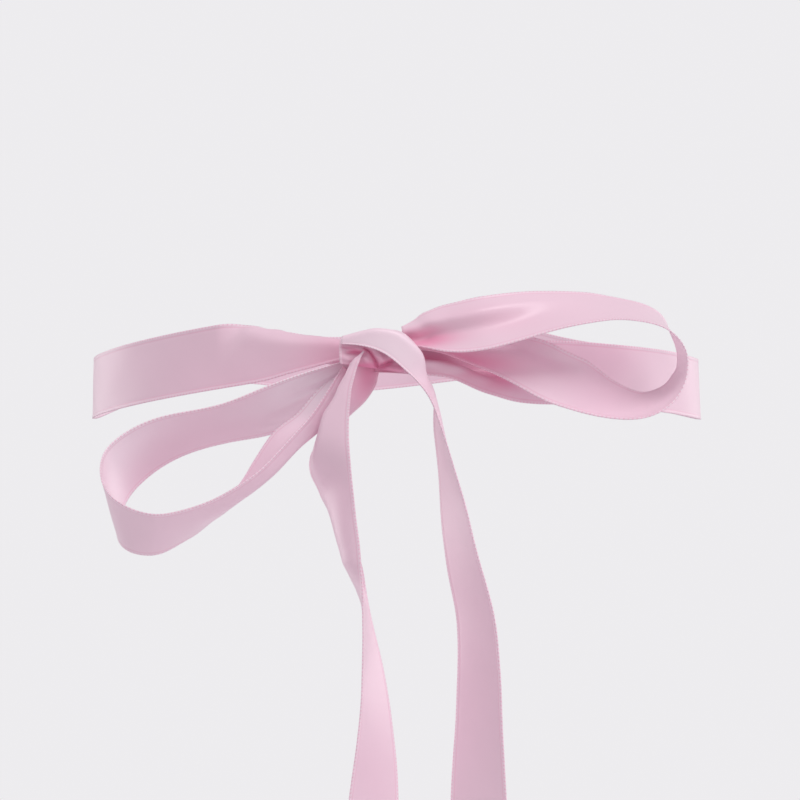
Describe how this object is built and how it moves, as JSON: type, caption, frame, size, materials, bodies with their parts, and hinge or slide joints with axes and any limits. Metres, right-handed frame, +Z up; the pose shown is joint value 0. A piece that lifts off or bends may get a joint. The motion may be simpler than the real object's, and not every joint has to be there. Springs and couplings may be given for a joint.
{
  "type": "bridal sash",
  "caption": "Pale pink satin ribbon sash, wound round the waist and tied in a bow with hanging tails; worn form, cloth rigid.",
  "frame": {"origin": "middle of the waist that the sash goes round, level with the knot's lower side", "axes": "+Z up along the body, +X to the right as the bow is looked at, +Y through the waist away from the bow"},
  "size_m": [0.2544, 0.2244, 0.4707],
  "materials": {
    "band_left_satin": "satin",
    "band_right_satin": "satin",
    "band_far_satin": "satin",
    "loop_left_satin": "satin",
    "loop_right_satin": "satin",
    "tail_left_satin": "satin",
    "tail_right_satin": "satin",
    "knot_wrap_satin": "satin"
  },
  "bodies": {
    "root": {"band_left": "band_left_satin", "band_right": "band_right_satin", "band_far": "band_far_satin", "loop_left": "loop_left_satin", "loop_right": "loop_right_satin", "tail_left": "tail_left_satin", "tail_right": "tail_right_satin", "knot_wrap": "knot_wrap_satin"}
  },
  "joints": []
}
